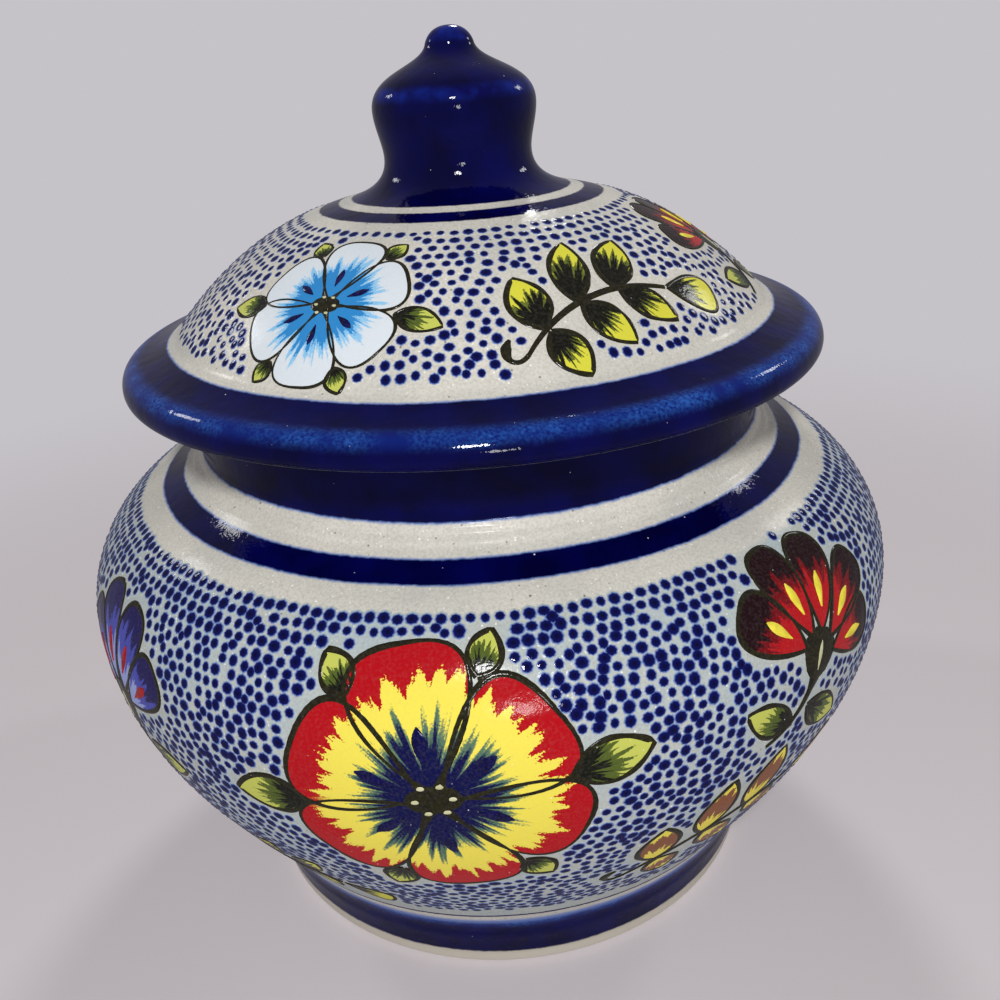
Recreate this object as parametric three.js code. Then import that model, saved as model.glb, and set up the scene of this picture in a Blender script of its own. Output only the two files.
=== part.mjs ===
// Lidded ceramic jar: a wheel-thrown stoneware body with a turned foot ring and an upright
// collar, and a domed lid whose overhanging flange rests on the collar. Below the flange the
// lid has a locating ring that drops into the mouth, and on top a solid knob.
// Millimetres, +Z up. The origin is the middle of the foot ring's standing face.
import * as THREE from 'three';

// Foot ring of the body
const FOOT_RADIUS = 40.2;
const FOOT_FLARE = 1.3;
const FOOT_HEIGHT = 6.5;
const FOOT_RING_WIDTH = 5.4;
const FOOT_RECESS = 3;
const FOOT_EDGE = 0.6;

// Cove that leads from the foot ring into the underside of the belly
const COVE_WIDTH = 2.7;
const COVE_HEIGHT = 6.8;

// Belly, shoulder and collar of the body, each height counted from the form below it
const BELLY_RADIUS = 59.7;
const BELLY_RISE = 36.2;
const SHOULDER_RISE = 17.4;
const SHOULDER_WIDTH = 6.2;
const COLLAR_RADIUS = 40.7;
const COLLAR_RISE = 13.5;
const COLLAR_FILLET_RISE = 6.3;

// Thickness of the thrown body
const BODY_WALL = 4.3;
const FLOOR_THICKNESS = 5;
const LIP_EDGE = 1;

// Fit between the lid and the collar
const SEAT_GAP = 0.3;
const FIT_CLEARANCE = 0.9;

// Flange, bead and locating ring of the lid
const FLANGE_OVERHANG = 8.7;
const FLANGE_WIDTH = 7.8;
const FLANGE_SLOPE_RISE = 2.6;
const FLANGE_LIFT = 0.3;
const BEAD_RADIUS = 1.9;
const LOCATING_DEPTH = 6;
const LOCATING_WALL = 3.6;
const LOCATING_EDGE = 0.8;

// Dome of the lid and its thickness
const DOME_RISE = 15.3;
const LID_WALL = 4.5;
const LID_ROOF_RISE = 0.4;

// Knob, from its spreading skirt to the small button at its tip
const SKIRT_RADIUS = 16.5;
const SKIRT_RISE = 5.3;
const WAIST_RADIUS = 10.1;
const DRUM_RADIUS = 11.05;
const DRUM_RISE = 6;
const CROWN_RISE = 7.4;
const BUTTON_RADIUS = 3.3;
const BUTTON_RISE = 2.4;

// Facets: steps round the wheel, and steps along one curve of an outline
const TURN_STEPS = 60;
const CURVE_STEPS = 6;

const CREAM_GLAZE = 0xcfc9bc;
const COBALT_GLAZE = 0x1a2266;

// Heights and radii that follow from the driving dimensions
const footTop = FOOT_HEIGHT;
const bellyFoot = footTop + COVE_HEIGHT;
const bellyHeight = bellyFoot + BELLY_RISE;
const shoulderHeight = bellyHeight + SHOULDER_RISE;
const mouthHeight = shoulderHeight + COLLAR_RISE;
const shoulderRadius = COLLAR_RADIUS + SHOULDER_WIDTH;
const mouthRadius = COLLAR_RADIUS - BODY_WALL;
const seatHeight = mouthHeight + SEAT_GAP;
const lidRadius = COLLAR_RADIUS + FLANGE_OVERHANG;
const domeRadius = lidRadius - FLANGE_WIDTH;
const beadHeight = seatHeight + FLANGE_LIFT + BEAD_RADIUS;
const domeFoot = beadHeight + BEAD_RADIUS + FLANGE_SLOPE_RISE;
const skirtHeight = domeFoot + DOME_RISE;
const waistHeight = skirtHeight + SKIRT_RISE;
const drumHeight = waistHeight + DRUM_RISE;
const buttonHeight = drumHeight + CROWN_RISE;
const locatingRadius = mouthRadius - FIT_CLEARANCE;
const locatingBore = locatingRadius - LOCATING_WALL;
const locatingFoot = seatHeight - LOCATING_DEPTH;

// A point of an outline: radius from the axis, then height
function at(radius, height) {
  return new THREE.Vector2(radius, height);
}

// One smooth stretch of an outline between two points, shaped by two handles
function curve(start, startHandle, endHandle, end, steps = CURVE_STEPS) {
  return new THREE.CubicBezierCurve(start, startHandle, endHandle, end).getPoints(steps);
}

// A quarter-round edge between two points, bulging towards the corner
function edge(start, corner, end, steps = 3) {
  return new THREE.QuadraticBezierCurve(start, corner, end).getPoints(steps);
}

// Joins stretches into one outline and drops the points that two stretches share
function outline(...stretches) {
  const points = stretches.flat();
  return points.filter((point, i) => i === 0 || point.distanceTo(points[i - 1]) > 0.01);
}

// The outline moved sideways by a wall's thickness, to its left as it runs
function inset(points, wall) {
  return points.map((point, i) => {
    const before = points[Math.max(i - 1, 0)];
    const after = points[Math.min(i + 1, points.length - 1)];
    const along = after.clone().sub(before).normalize();
    return at(point.x - along.y * wall, point.y + along.x * wall);
  });
}

// Turns an outline about the Z axis. The outline runs from the axis outwards and up the
// outside, so that the faces point out.
function turned(name, points, color) {
  const geometry = new THREE.LatheGeometry(points, TURN_STEPS);
  geometry.rotateX(Math.PI / 2);
  const material = new THREE.MeshStandardMaterial({ color, roughness: 0.25, metalness: 0 });
  const mesh = new THREE.Mesh(geometry, material);
  mesh.name = name;
  return mesh;
}

// Outside of the body, from the foot's standing face up to the mouth
function bodyOutside() {
  const standing = at(FOOT_RADIUS, FOOT_EDGE);
  const footEdge = at(FOOT_RADIUS + FOOT_FLARE, footTop);
  const coveTop = at(footEdge.x + COVE_WIDTH, bellyFoot);
  const belly = at(BELLY_RADIUS, bellyHeight);
  const shoulder = at(shoulderRadius, shoulderHeight);
  const collarFoot = at(COLLAR_RADIUS, shoulderHeight + COLLAR_FILLET_RISE);
  const bulge = BELLY_RADIUS - coveTop.x;
  const drop = BELLY_RADIUS - shoulderRadius;
  return outline(
    [standing],
    edge(footEdge, at(footEdge.x + 0.15 * COVE_WIDTH, footTop + 0.45 * COVE_HEIGHT), coveTop),
    curve(
      coveTop,
      at(coveTop.x + 0.44 * bulge, bellyFoot + 0.31 * BELLY_RISE),
      at(BELLY_RADIUS, bellyHeight - 0.39 * BELLY_RISE),
      belly,
    ),
    curve(
      belly,
      at(BELLY_RADIUS, bellyHeight + 0.55 * SHOULDER_RISE),
      at(shoulderRadius + 0.48 * drop, shoulderHeight - 0.13 * SHOULDER_RISE),
      shoulder,
    ),
    edge(shoulder, at(COLLAR_RADIUS, shoulderHeight + 0.43 * COLLAR_FILLET_RISE), collarFoot, 4),
    [at(COLLAR_RADIUS, mouthHeight - LIP_EDGE)],
  );
}

// The body: recess under the floor, foot ring, outside, lip, inside wall and floor
function makeBody() {
  const outside = bodyOutside();
  const floorTop = FOOT_RECESS + FLOOR_THICKNESS;
  const wallFoot = bellyFoot + BODY_WALL;
  const recessRadius = FOOT_RADIUS - FOOT_RING_WIDTH;
  const inside = inset(outside, BODY_WALL).filter((point) => point.y > wallFoot);
  inside.pop();
  const outerLip = outside[outside.length - 1];
  const innerLip = at(mouthRadius, mouthHeight - LIP_EDGE);
  const floorEdge = at(recessRadius, floorTop);
  const floorCorner = at(inside[0].x - BODY_WALL, floorTop);
  return turned(
    'jar_body',
    outline(
      [at(0, FOOT_RECESS), at(recessRadius, FOOT_RECESS), at(recessRadius, FOOT_EDGE)],
      [at(recessRadius + FOOT_EDGE, 0), at(FOOT_RADIUS - FOOT_EDGE, 0)],
      outside,
      edge(outerLip, at(COLLAR_RADIUS, mouthHeight), at(COLLAR_RADIUS - LIP_EDGE, mouthHeight), 2),
      edge(at(mouthRadius + LIP_EDGE, mouthHeight), at(mouthRadius, mouthHeight), innerLip, 2),
      inside.reverse(),
      edge(inside[inside.length - 1], floorCorner, floorEdge, 4),
      [at(0, floorTop)],
    ),
    CREAM_GLAZE,
  );
}

// Top of the lid's dome, from the flange inwards to the knob's skirt
function domeOutside() {
  const span = domeRadius - SKIRT_RADIUS;
  return curve(
    at(domeRadius, domeFoot),
    at(domeRadius - 0.26 * span, domeFoot + 0.47 * DOME_RISE),
    at(SKIRT_RADIUS + 0.44 * span, skirtHeight - 0.15 * DOME_RISE),
    at(SKIRT_RADIUS, skirtHeight),
  );
}

// Skirt, waist, drum, crown and button of the knob
function knobOutside() {
  const flare = SKIRT_RADIUS - WAIST_RADIUS;
  const crown = DRUM_RADIUS - BUTTON_RADIUS;
  return outline(
    curve(
      at(SKIRT_RADIUS, skirtHeight),
      at(SKIRT_RADIUS - 0.6 * flare, skirtHeight + 0.17 * SKIRT_RISE),
      at(WAIST_RADIUS, waistHeight - 0.57 * SKIRT_RISE),
      at(WAIST_RADIUS, waistHeight),
      5,
    ),
    curve(
      at(WAIST_RADIUS, waistHeight),
      at(WAIST_RADIUS, waistHeight + 0.3 * DRUM_RISE),
      at(DRUM_RADIUS, drumHeight - 0.36 * DRUM_RISE),
      at(DRUM_RADIUS, drumHeight),
      4,
    ),
    curve(
      at(DRUM_RADIUS, drumHeight),
      at(DRUM_RADIUS, drumHeight + 0.62 * CROWN_RISE),
      at(BUTTON_RADIUS + 0.13 * crown, buttonHeight - 0.33 * CROWN_RISE),
      at(BUTTON_RADIUS, buttonHeight),
    ),
    curve(
      at(BUTTON_RADIUS, buttonHeight),
      at(BUTTON_RADIUS * 0.91, buttonHeight + 0.54 * BUTTON_RISE),
      at(BUTTON_RADIUS * 0.6, buttonHeight + BUTTON_RISE),
      at(0, buttonHeight + BUTTON_RISE),
      4,
    ),
  );
}

// The lid: hollow under the dome, locating ring, seat, flange with its bead, dome and knob
function makeLid() {
  const dome = domeOutside();
  const roof = inset(dome, LID_WALL).filter((point) => point.x < locatingBore).reverse();
  const beadCentre = lidRadius - BEAD_RADIUS;
  const bead = new THREE.Path()
    .absarc(beadCentre, beadHeight, BEAD_RADIUS, -Math.PI / 2, Math.PI / 2, false)
    .getPoints(6);
  const flangeTop = at(beadCentre, beadHeight + BEAD_RADIUS);
  return turned(
    'lid',
    outline(
      [at(0, roof[0].y + LID_ROOF_RISE)],
      roof,
      [at(locatingBore, roof[roof.length - 1].y - 2 * LOCATING_EDGE)],
      [at(locatingBore, locatingFoot + LOCATING_EDGE), at(locatingBore + LOCATING_EDGE, locatingFoot)],
      [at(locatingRadius - LOCATING_EDGE, locatingFoot)],
      [at(locatingRadius, locatingFoot + LOCATING_EDGE), at(locatingRadius, seatHeight)],
      [at(COLLAR_RADIUS, seatHeight)],
      bead,
      edge(flangeTop, at(domeRadius + 0.35 * FLANGE_WIDTH, domeFoot - 0.6 * FLANGE_SLOPE_RISE), dome[0]),
      dome,
      knobOutside(),
    ),
    COBALT_GLAZE,
  );
}

const group = new THREE.Group();
group.add(makeBody(), makeLid());

export default group;
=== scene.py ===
import math
import random

import bmesh
import bpy
import numpy as np
from mathutils import Matrix, Vector
from mathutils.geometry import interpolate_bezier
from mathutils.kdtree import KDTree


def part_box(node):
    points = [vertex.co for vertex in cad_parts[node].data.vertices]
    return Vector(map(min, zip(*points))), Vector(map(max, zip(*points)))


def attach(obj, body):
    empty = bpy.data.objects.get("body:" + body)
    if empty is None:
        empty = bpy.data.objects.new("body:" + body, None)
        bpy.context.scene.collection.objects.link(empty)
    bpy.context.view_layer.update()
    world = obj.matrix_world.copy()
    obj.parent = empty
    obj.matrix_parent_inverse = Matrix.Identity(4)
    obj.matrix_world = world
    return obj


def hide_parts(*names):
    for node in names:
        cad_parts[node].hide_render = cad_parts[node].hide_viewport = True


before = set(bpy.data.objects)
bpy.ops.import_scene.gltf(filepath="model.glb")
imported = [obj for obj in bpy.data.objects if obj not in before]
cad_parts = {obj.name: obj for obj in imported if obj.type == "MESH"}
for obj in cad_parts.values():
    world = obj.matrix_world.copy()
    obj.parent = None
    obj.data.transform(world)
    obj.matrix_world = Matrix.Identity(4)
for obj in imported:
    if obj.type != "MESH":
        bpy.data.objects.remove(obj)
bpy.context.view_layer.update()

# Jar body
# A wheel-thrown stoneware pot with its foot ring turned from the same clay. Cobalt bands were
# brushed on while it turned, and a clear glaze covers all but the lip and the foot's underside.
MM = 0.001
PAINT_RELIEF = 0.2  # the belly is drawn this far inside its box, as room for the raised dots
BELLY_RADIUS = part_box("jar_body")[1].x / MM - PAINT_RELIEF
MOUTH_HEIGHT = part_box("jar_body")[1].z / MM
FOOT_RADIUS = 40.2
FOOT_TOP = (41.5, 6.5)
COVE_TOP = (44.2, 13.3)
BELLY_HEIGHT = 49.5
SHOULDER = (46.9, 66.9)
COLLAR_RADIUS = 40.7
COLLAR_FOOT = 73.2
WALL = 4.3
FOOT_RECESS = 3
FOOT_BORE = 34.8
FOOT_EDGE = 0.6
LIP_EDGE = 1
FLOOR_TOP = 8
SPIN_STEPS = 256

RING_LOW = 68.6
RING_HIGH = 72.2
RING_COUNT = 3
RING_DEPTH = 0.15

BARE_CLAY = "#b3ada0"
CREAM = "#cfcbc1"
CREAM_SHADE = "#bfbdb5"
IRON_SPECK = "#5b4a38"
WHITE_SPECK_AND_GLINT = "#f2f0ea"
CLAY_GRAIN = "#8e8a80"
CREAM_CLOUD = 14
BLUISH_CREAM = "#a5b1b4"
BLUISH_SHADE = "#b2b6b0"
BLUISH_CLOUD = 9
BLEED_BLUE = "#5a73ad"
COBALT = "#030443"
COBALT_POOL = "#02022c"
COBALT_THIN_AND_SHEEN = "#0b1e70"
COBALT_SHEEN_AND_BREAK = "#24529e"
COBALT_SHEEN_AND_BREAK_DEEP = "#0a1c66"
SCORED_LINE = "#1d2350"

GLAZE_RIPPLE = 2.2
GLAZE_PITTING = 0.4
GLAZE_RELIEF = 0.06
GLAZE_DULLEST = 0.2
GLAZE_DULL_FROM = 0.35
GLAZE_COAT = 0.38
GLAZE_IOR = 1.3
CLAY_RELIEF = 0.03
SLOW_WAVER = 9
QUICK_WAVER = 0.9
BRUSH_DRIFT = 0.35
BLEED_REACH = 0.1
BLEED_SOFT = 0.45
BLEED_SHARP = 0.3


def smooth(start, start_handle, end_handle, end, steps=28):
    """Points of one smooth stretch of an outline, as (radius, height) in mm."""
    knots = [Vector(p) for p in (start, start_handle, end_handle, end)]
    return [tuple(p) for p in interpolate_bezier(*knots, steps)]


def rounded(start, corner, end, steps=6):
    """Points of a rounded corner between two points."""
    start_handle = Vector(start).lerp(Vector(corner), 2 / 3)
    end_handle = Vector(end).lerp(Vector(corner), 2 / 3)
    return smooth(start, start_handle, end_handle, end, steps)


def joined(*stretches):
    """One outline from several stretches, without the points that two of them share."""
    points = [p for stretch in stretches for p in stretch]
    return [p for i, p in enumerate(points) if i == 0 or math.dist(p, points[i - 1]) > 0.01]


def inset(points, wall):
    """The outline moved by a wall's thickness, to its left as it runs."""
    moved = []
    for i, (radius, height) in enumerate(points):
        before = points[max(i - 1, 0)]
        after = points[min(i + 1, len(points) - 1)]
        along = (Vector(after) - Vector(before)).normalized()
        moved.append((radius - along.y * wall, height + along.x * wall))
    return moved


def body_outside():
    """Outside of the body from the foot's edge up to the lip, with the belly at its full width."""
    bulge = BELLY_RADIUS - COVE_TOP[0]
    drop = BELLY_RADIUS - SHOULDER[0]
    belly_rise = BELLY_HEIGHT - COVE_TOP[1]
    shoulder_rise = SHOULDER[1] - BELLY_HEIGHT
    fillet_rise = COLLAR_FOOT - SHOULDER[1]
    return joined(
        rounded((FOOT_RADIUS, FOOT_EDGE), (40.6, 3.6), FOOT_TOP),
        rounded(FOOT_TOP, (41.9, 9.6), COVE_TOP, 14),
        smooth(
            COVE_TOP,
            (COVE_TOP[0] + 0.44 * bulge, COVE_TOP[1] + 0.31 * belly_rise),
            (BELLY_RADIUS, BELLY_HEIGHT - 0.39 * belly_rise),
            (BELLY_RADIUS, BELLY_HEIGHT),
            44,
        ),
        smooth(
            (BELLY_RADIUS, BELLY_HEIGHT),
            (BELLY_RADIUS, BELLY_HEIGHT + 0.55 * shoulder_rise),
            (SHOULDER[0] + 0.48 * drop, SHOULDER[1] - 0.13 * shoulder_rise),
            SHOULDER,
            36,
        ),
        rounded(
            SHOULDER,
            (COLLAR_RADIUS, SHOULDER[1] + 0.43 * fillet_rise),
            (COLLAR_RADIUS, COLLAR_FOOT),
            32,
        ),
        [(COLLAR_RADIUS, MOUTH_HEIGHT - LIP_EDGE)],
    )


def throwing_rings(points):
    """Shallow rings that the potter's fingers left in the neck, below the cobalt of the collar."""
    ringed = []
    for radius, height in points:
        share = (height - RING_LOW) / (RING_HIGH - RING_LOW)
        if 0 < share < 1:
            radius -= RING_DEPTH * math.sin(math.pi * RING_COUNT * share) ** 2
        ringed.append((radius, height))
    return ringed


def run_of(points):
    """Distance along an outline to each of its points."""
    steps = [math.dist(a, b) for a, b in zip(points, points[1:])]
    return np.concatenate([[0], np.cumsum(steps)])


def turned(name, points, materials, bare):
    """Spins an outline about the upright axis. The run attribute is the distance along it in mm,
    and the stretches of it that are listed as bare get the second material."""
    bm = bmesh.new()
    run_layer = bm.verts.layers.float.new("run")
    verts = []
    for (radius, height), run in zip(points, run_of(points)):
        vert = bm.verts.new((radius * MM, 0, height * MM))
        vert[run_layer] = run
        verts.append(vert)
    edges = [bm.edges.new(pair) for pair in zip(verts, verts[1:])]
    bmesh.ops.spin(
        bm,
        geom=verts + edges,
        cent=(0, 0, 0),
        axis=(0, 0, 1),
        angle=math.tau,
        steps=SPIN_STEPS,
        use_merge=True,
    )
    bmesh.ops.remove_doubles(bm, verts=bm.verts, dist=0.001 * MM)
    bmesh.ops.recalc_face_normals(bm, faces=bm.faces)
    for face in bm.faces:
        middle = sum(v[run_layer] for v in face.verts) / len(face.verts)
        face.material_index = any(start < middle < end for start, end in bare)
    return finished(name, bm, materials)


def finished(name, bm, materials):
    """Makes a piece from a bmesh, smooth shaded but for its sharp corners."""
    mesh = bpy.data.meshes.new(name)
    bm.to_mesh(mesh)
    bm.free()
    mesh.shade_smooth()
    mesh.set_sharp_from_angle(angle=math.radians(50))
    for material in materials:
        mesh.materials.append(material)
    piece = bpy.data.objects.new(name, mesh)
    bpy.context.scene.collection.objects.link(piece)
    return piece


def linear(hex_colour):
    """Linear RGBA of an sRGB hex colour."""
    parts = [int(hex_colour[i : i + 2], 16) / 255 for i in (1, 3, 5)]
    return [c / 12.92 if c <= 0.04045 else ((c + 0.055) / 1.055) ** 2.4 for c in parts] + [1]


def add(tree, kind, links=None, **settings):
    """Adds a node with its settings, and links or sets its sockets. A node stands for its output."""
    made = tree.nodes.new(kind)
    for key, value in settings.items():
        setattr(made, key, value)
    for key, value in (links or {}).items():
        socket = next(s for s in made.inputs if s.enabled and key in (s.identifier, s.name))
        if isinstance(value, bpy.types.Node):
            value = next(s for s in value.outputs if s.enabled)
        if isinstance(value, bpy.types.NodeSocket):
            tree.links.new(value, socket)
        elif isinstance(value, str):
            socket.default_value = linear(value)
        else:
            socket.default_value = value
    return made


def fresh_material(name):
    """An empty material and its node tree."""
    material = bpy.data.materials.new(name)
    material.use_nodes = True
    material.node_tree.nodes.clear()
    return material, material.node_tree


def banded(tree, run, first, bands):
    """Colours that follow each other along a run: each band has a start, a soft edge and a colour."""
    colour = first
    for start, edge, following in bands:
        share = add(
            tree,
            "ShaderNodeMapRange",
            {"Value": run, "From Min": start - edge / 2, "From Max": start + edge / 2},
            interpolation_type="SMOOTHSTEP",
        )
        colour = add(
            tree, "ShaderNodeMix", {"Factor": share, "A": colour, "B": following}, data_type="RGBA"
        )
    return colour


def place_in_mm(tree):
    """Object coordinates in mm, so that pattern sizes are real ones."""
    place = add(tree, "ShaderNodeTexCoord").outputs["Object"]
    return add(tree, "ShaderNodeVectorMath", {"Vector": place, "Scale": 1 / MM}, operation="SCALE")


def speckled(tree, place, colour, spacing, size, speck, seed):
    """Adds round specks of one colour: one candidate per spacing in mm, up to size mm across."""
    moved = add(
        tree,
        "ShaderNodeVectorMath",
        {"Vector": place, "Vector_001": (seed, seed, seed)},
        operation="ADD",
    )
    cells = add(tree, "ShaderNodeTexVoronoi", {"Vector": moved, "Scale": 1 / spacing})
    chance = add(tree, "ShaderNodeSeparateColor", {"Color": cells.outputs["Color"]})
    reach = add(
        tree,
        "ShaderNodeMapRange",
        {"Value": chance.outputs["Red"], "From Min": 0.55, "To Max": size / 2 / spacing},
    )
    nearness = add(
        tree,
        "ShaderNodeMath",
        {"Value": reach, "Value_001": cells.outputs["Distance"]},
        operation="SUBTRACT",
    )
    share = add(
        tree, "ShaderNodeMapRange", {"Value": nearness, "From Max": 0.3 * size / spacing, "To Max": 0.85}
    )
    return add(tree, "ShaderNodeMix", {"Factor": share, "A": colour, "B": speck}, data_type="RGBA")


def stoneware_specks(tree, place, colour):
    """The fine grain, pale grains and iron specks that show in stoneware through a clear glaze.
    The white specks are partly pale grains and partly painted glints of the glaze.
    """
    noise = add(tree, "ShaderNodeTexNoise", {"Vector": place, "Scale": 1 / 0.32, "Detail": 2})
    share = add(
        tree, "ShaderNodeMapRange", {"Value": noise, "From Min": 0.4, "From Max": 0.75, "To Max": 0.4}
    )
    colour = add(
        tree, "ShaderNodeMix", {"Factor": share, "A": colour, "B": CLAY_GRAIN}, data_type="RGBA"
    )
    # The white specks are partly pale grains and partly painted glints.
    colour = speckled(tree, place, colour, spacing=0.5, size=0.35, speck=WHITE_SPECK_AND_GLINT, seed=3)
    return speckled(tree, place, colour, spacing=1.0, size=0.42, speck=IRON_SPECK, seed=17)


def clouded(tree, place, width, pale, dark):
    """A colour that drifts between two tones in clouds about width mm across."""
    cloud = add(tree, "ShaderNodeTexNoise", {"Vector": place, "Scale": 1 / width, "Detail": 3})
    share = add(tree, "ShaderNodeMapRange", {"Value": cloud, "From Min": 0.35, "From Max": 0.65})
    return add(tree, "ShaderNodeMix", {"Factor": share, "A": pale, "B": dark}, data_type="RGBA")


def glazed(tree, colour, place, smoothest=0.05):
    """Ends a material in a clear glaze over the colour. The glaze is softly rippled and pitted. It
    is smoothest over dark cobalt, which melts into it, and duller over the pale ground."""
    ripple = add(tree, "ShaderNodeTexNoise", {"Vector": place, "Scale": 1 / GLAZE_RIPPLE, "Detail": 1})
    pitting = add(
        tree, "ShaderNodeTexNoise", {"Vector": place, "Scale": 1 / GLAZE_PITTING, "Detail": 1}
    )
    skin = add(
        tree,
        "ShaderNodeMath",
        {"Value": pitting, "Value_001": 0.3, "Value_002": ripple},
        operation="MULTIPLY_ADD",
    )
    skin_bump = add(
        tree, "ShaderNodeBump", {"Height": skin, "Strength": 1.0, "Distance": GLAZE_RELIEF * MM}
    )
    paleness = add(tree, "ShaderNodeRGBToBW", {"Color": colour})
    dullness = add(
        tree,
        "ShaderNodeMapRange",
        {
            "Value": paleness,
            "From Max": GLAZE_DULL_FROM,
            "To Min": smoothest,
            "To Max": GLAZE_DULLEST,
        },
    )
    shader = add(
        tree,
        "ShaderNodeBsdfPrincipled",
        {
            "Base Color": colour,
            "Roughness": 1.0,
            "Specular IOR Level": 0.0,
            "Coat Weight": GLAZE_COAT,
            "Coat IOR": GLAZE_IOR,
            "Coat Roughness": dullness,
            "Coat Normal": skin_bump,
        },
    )
    add(tree, "ShaderNodeOutputMaterial", {"Surface": shader})


def matt(tree, colour, place, grain):
    """Ends a material in a dull surface with a fine grain, given in mm."""
    grains = add(tree, "ShaderNodeTexNoise", {"Vector": place, "Scale": 1 / grain, "Detail": 2})
    bump = add(
        tree, "ShaderNodeBump", {"Height": grains, "Strength": 0.5, "Distance": CLAY_RELIEF * MM}
    )
    shader = add(
        tree, "ShaderNodeBsdfPrincipled", {"Base Color": colour, "Roughness": 0.8, "Normal": bump}
    )
    add(tree, "ShaderNodeOutputMaterial", {"Surface": shader})


def wavering_run(tree, place, drift):
    """The run attribute, moved to and fro by a brush edge's waver of drift mm."""
    run = add(tree, "ShaderNodeAttribute", attribute_name="run").outputs["Fac"]
    slow = add(tree, "ShaderNodeTexNoise", {"Vector": place, "Scale": 1 / SLOW_WAVER, "Detail": 1})
    quick = add(tree, "ShaderNodeTexNoise", {"Vector": place, "Scale": 1 / QUICK_WAVER, "Detail": 3})
    waver = add(tree, "ShaderNodeMath", {"Value": slow, "Value_001": quick}, operation="ADD")
    centred = add(
        tree,
        "ShaderNodeMath",
        {"Value": waver, "Value_001": drift, "Value_002": -drift},
        operation="MULTIPLY_ADD",
    )
    return add(tree, "ShaderNodeMath", {"Value": run, "Value_001": centred}, operation="ADD")


def banded_glaze(name, first, bands):
    """Clear-glazed stoneware painted with bands of cobalt, which is darkest where it pools,
    clouded where it is thin and breaks to a flecked brighter blue on the edges. The lighter blues
    also hold painted sheen: on the lid's bead and at the top of the knob's drum they stand in for
    the lamp's glow, and the rare white specks on the cobalt are painted glints."""
    material, tree = fresh_material(name)
    place = place_in_mm(tree)
    run = wavering_run(tree, place, BRUSH_DRIFT)
    cream = clouded(tree, place, CREAM_CLOUD, CREAM, CREAM_SHADE)
    cream = stoneware_specks(tree, place, cream)
    ground = clouded(tree, place, BLUISH_CLOUD, BLUISH_CREAM, BLUISH_SHADE)
    ground = stoneware_specks(tree, place, ground)
    cobalt = clouded(tree, place, 6, COBALT, COBALT_POOL)
    # The rare white specks on the cobalt are painted glints.
    cobalt = speckled(tree, place, cobalt, spacing=1.7, size=0.26, speck=WHITE_SPECK_AND_GLINT, seed=29)
    flecks = clouded(tree, place, 0.38, COBALT_SHEEN_AND_BREAK, COBALT_SHEEN_AND_BREAK_DEEP)
    tones = {
        "cream": cream,
        "ground": ground,
        "cobalt": cobalt,
        "thin": clouded(tree, place, 3, COBALT_THIN_AND_SHEEN, COBALT),
        "break": clouded(tree, place, 5, flecks, COBALT_SHEEN_AND_BREAK_DEEP),
        "clay": BARE_CLAY,
    }
    following = [(start, edge, tones.get(colour, colour)) for start, edge, colour in bands]
    glazed(tree, banded(tree, run, tones[first], following), place)
    return material


def bled_edge(run, following):
    """One edge of a cobalt band, where the glaze drew a paler blue a little way out of it. It is
    sharp against the cobalt and soft against the cream."""
    edges = (BLEED_SOFT, BLEED_SHARP) if following == "cobalt" else (BLEED_SHARP, BLEED_SOFT)
    return [(run - BLEED_REACH, edges[0], BLEED_BLUE), (run + BLEED_REACH, edges[1], following)]


def bare_clay():
    """Unglazed fired stoneware: dull, pale grey-beige, with iron specks."""
    material, tree = fresh_material("bare_fired_stoneware")
    place = place_in_mm(tree)
    clay = speckled(tree, place, BARE_CLAY, spacing=2.1, size=0.42, speck=IRON_SPECK, seed=17)
    matt(tree, clay, place, 0.3)
    return material


outside = throwing_rings(body_outside())
inside = [p for p in inset(outside, WALL) if p[1] > COVE_TOP[1] + WALL][:-1]
inside = [p for p in inside if p[0] < BELLY_RADIUS]
mouth_radius = COLLAR_RADIUS - WALL
body_outline = joined(
    [(0, FOOT_RECESS), (FOOT_BORE - 1, FOOT_RECESS)],
    rounded((FOOT_BORE - 1, FOOT_RECESS), (FOOT_BORE, FOOT_RECESS), (FOOT_BORE, FOOT_RECESS - 1)),
    rounded((FOOT_BORE, FOOT_EDGE), (FOOT_BORE, 0), (FOOT_BORE + FOOT_EDGE, 0)),
    rounded((FOOT_RADIUS - FOOT_EDGE, 0), (FOOT_RADIUS, 0), (FOOT_RADIUS, FOOT_EDGE)),
    outside,
    rounded(outside[-1], (COLLAR_RADIUS, MOUTH_HEIGHT), (COLLAR_RADIUS - LIP_EDGE, MOUTH_HEIGHT)),
    rounded(
        (mouth_radius + LIP_EDGE, MOUTH_HEIGHT),
        (mouth_radius, MOUTH_HEIGHT),
        (mouth_radius, MOUTH_HEIGHT - LIP_EDGE),
    ),
    inside[::-1],
    rounded(inside[0], (inside[0][0] - WALL, FLOOR_TOP), (FOOT_BORE, FLOOR_TOP), 16),
    [(0, FLOOR_TOP)],
)


def run_to(points, place):
    """Distance along an outline to the point that lies nearest to a place."""
    nearest = min(range(len(points)), key=lambda i: math.dist(points[i], place))
    return run_of(points)[nearest]


def run_at(points, stretch, height):
    """Distance along a whole outline to a height on one of its rising stretches."""
    start = run_to(points, stretch[0])
    return start + np.interp(height, [p[1] for p in stretch], run_of(stretch))


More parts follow.
